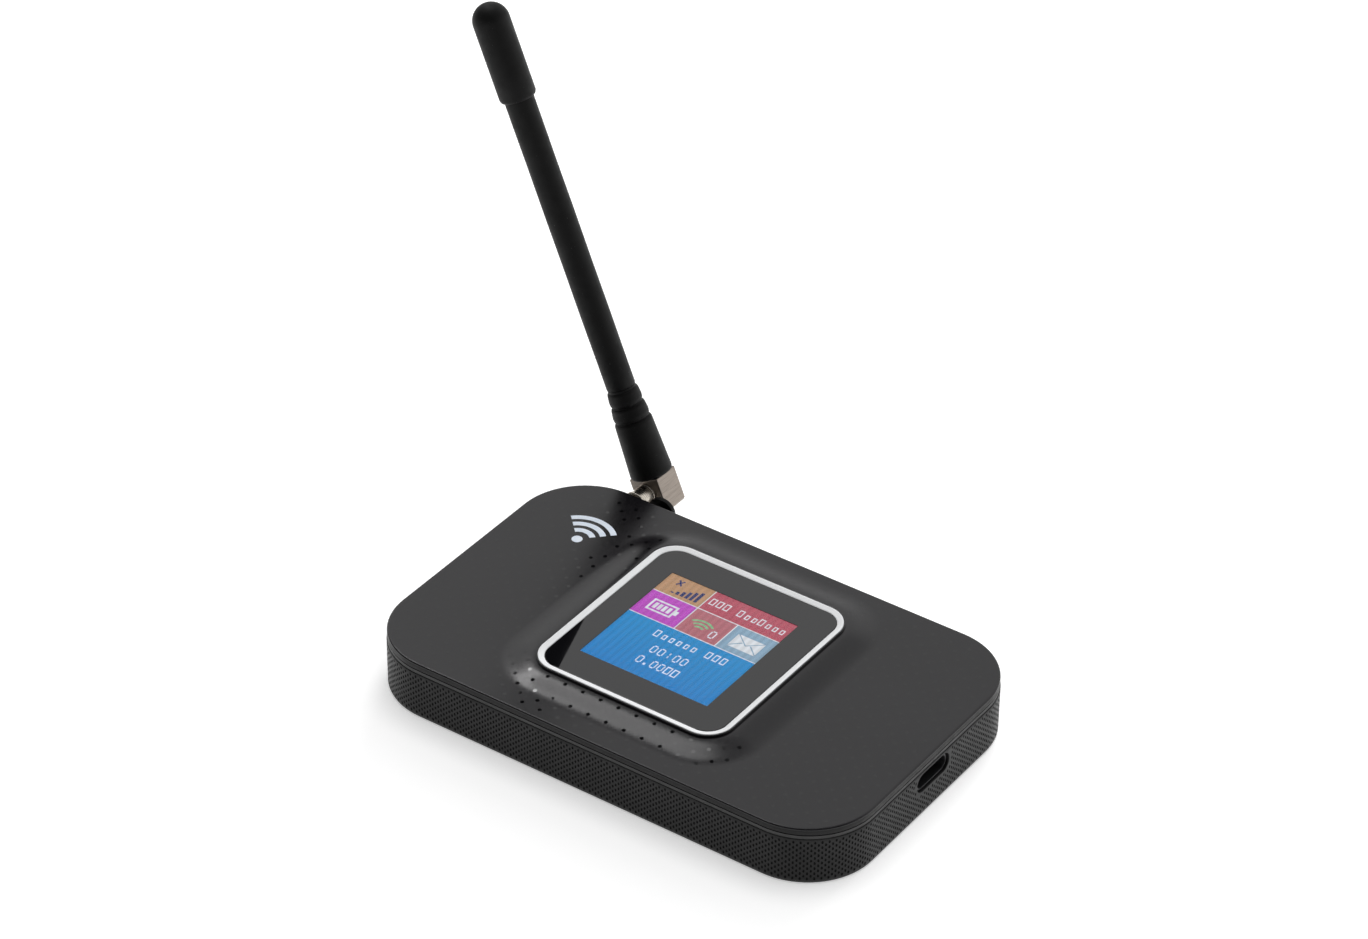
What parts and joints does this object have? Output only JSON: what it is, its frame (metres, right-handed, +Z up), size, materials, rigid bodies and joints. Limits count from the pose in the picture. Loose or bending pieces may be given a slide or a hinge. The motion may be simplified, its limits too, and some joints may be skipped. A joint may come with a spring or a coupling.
{
  "type": "mobile hotspot",
  "caption": "Pocket mobile hotspot: flat rounded box with a small raised colour display, USB-C port and a plug-in whip antenna.",
  "frame": {"origin": "middle of the body footprint on the surface it rests on", "axes": "+X along the long side towards the USB-C port, +Y towards the rear side with the antenna jack, +Z up out of the display"},
  "size_m": [0.1186, 0.0713, 0.0928],
  "materials": {
    "black_shell": "matte black moulded plastic, fine dimple texture on the sides",
    "black_top": "satin black with small glossy dots",
    "silver_ring": "bright silver-white",
    "lens_black": "clear window with black printed border",
    "lcd_glass": "lit colour display",
    "white_diffuser": "white light guide",
    "tray_metal": "pressed sheet",
    "flex_film": "amber film",
    "mark_ink": "pale print",
    "board_green": "solder mask",
    "can_metal": "tinned sheet",
    "chip_black": "epoxy",
    "small_parts": "ceramic",
    "connector_steel": "satin",
    "contact_gold": "gold plated",
    "insulator_white": "waxy white",
    "battery_wrap": "dark film",
    "card_white": "plain card",
    "button_black": "satin",
    "screw_steel": "blackened",
    "rubber_black": "matte rubber",
    "nickel": "warm nickel plating",
    "copper_core": "bare copper"
  },
  "bodies": {
    "housing": {"chassis": "black_shell", "top_cover": "black_top", "display_ring": "silver_ring", "display_lens": "lens_black", "lcd_panel": "lcd_glass", "lcd_backlight": "white_diffuser", "lcd_frame": "tray_metal", "display_flex": "flex_film", "top_mark": "mark_ink", "main_board": "board_green", "modem_shield": "can_metal", "radio_shield": "can_metal", "modem_chip": "chip_black", "radio_chip": "chip_black", "board_parts": "small_parts", "usb_shell": "connector_steel", "usb_tongue": "chip_black", "antenna_jack": "contact_gold", "jack_insulator": "insulator_white", "battery_contacts": "contact_gold", "sim_socket": "can_metal", "side_switches": "connector_steel", "case_screws": "screw_steel", "inner_antenna_front": "contact_gold", "inner_antenna_left": "contact_gold", "cover_anchor": "rubber_black"},
    "battery_cover": {"battery_cover": "black_shell"},
    "battery": {"battery": "battery_wrap"},
    "sim_card": {"sim_card": "card_white"},
    "power_button": {"power_button": "button_black"},
    "pairing_button": {"pairing_button": "button_black"},
    "port_cover": {"port_cover": "rubber_black"},
    "plug": {"plug_barrel": "nickel", "plug_insulator": "insulator_white", "plug_pin": "contact_gold"},
    "antenna": {"plug_elbow": "nickel", "antenna_boot": "rubber_black", "antenna_whip": "rubber_black", "antenna_tip": "rubber_black", "antenna_core": "copper_core"}
  },
  "joints": [
    {"name": "battery_cover_off", "type": "slide", "parent": "housing", "child": "battery_cover", "axis": [0, 0, -1], "range_m": [0, 0.02]},
    {"name": "battery_out", "type": "slide", "parent": "housing", "child": "battery", "axis": [0, 0, -1], "range_m": [0, 0.01]},
    {"name": "sim_card_slide", "type": "slide", "parent": "housing", "child": "sim_card", "axis": [0, 1, 0], "range_m": [0, 0.011]},
    {"name": "power_press", "type": "slide", "parent": "housing", "child": "power_button", "axis": [0, -1, 0], "range_m": [0, 0.00035], "stiffness_N_per_m": 4000},
    {"name": "pairing_press", "type": "slide", "parent": "housing", "child": "pairing_button", "axis": [0, -1, 0], "range_m": [0, 0.00035], "stiffness_N_per_m": 4000},
    {"name": "port_cover_swing", "type": "hinge", "parent": "housing", "child": "port_cover", "pos_m": [-0.0275, 0.0319, 0.0078], "axis": [0, 0, -1], "range_deg": [0, 20]},
    {"name": "antenna_unplug", "type": "slide", "parent": "housing", "child": "plug", "axis": [0, 1, 0], "range_m": [0, 0.01]},
    {"name": "antenna_turn", "type": "hinge", "parent": "plug", "child": "antenna", "pos_m": [-0.0339, 0.0377, 0.00825], "axis": [0, 1, 0], "range_deg": [-60, 70]}
  ],
  "couplings": [
    {"joint": "battery_out", "follows": "battery_cover_off", "ratio": 0.5}
  ]
}
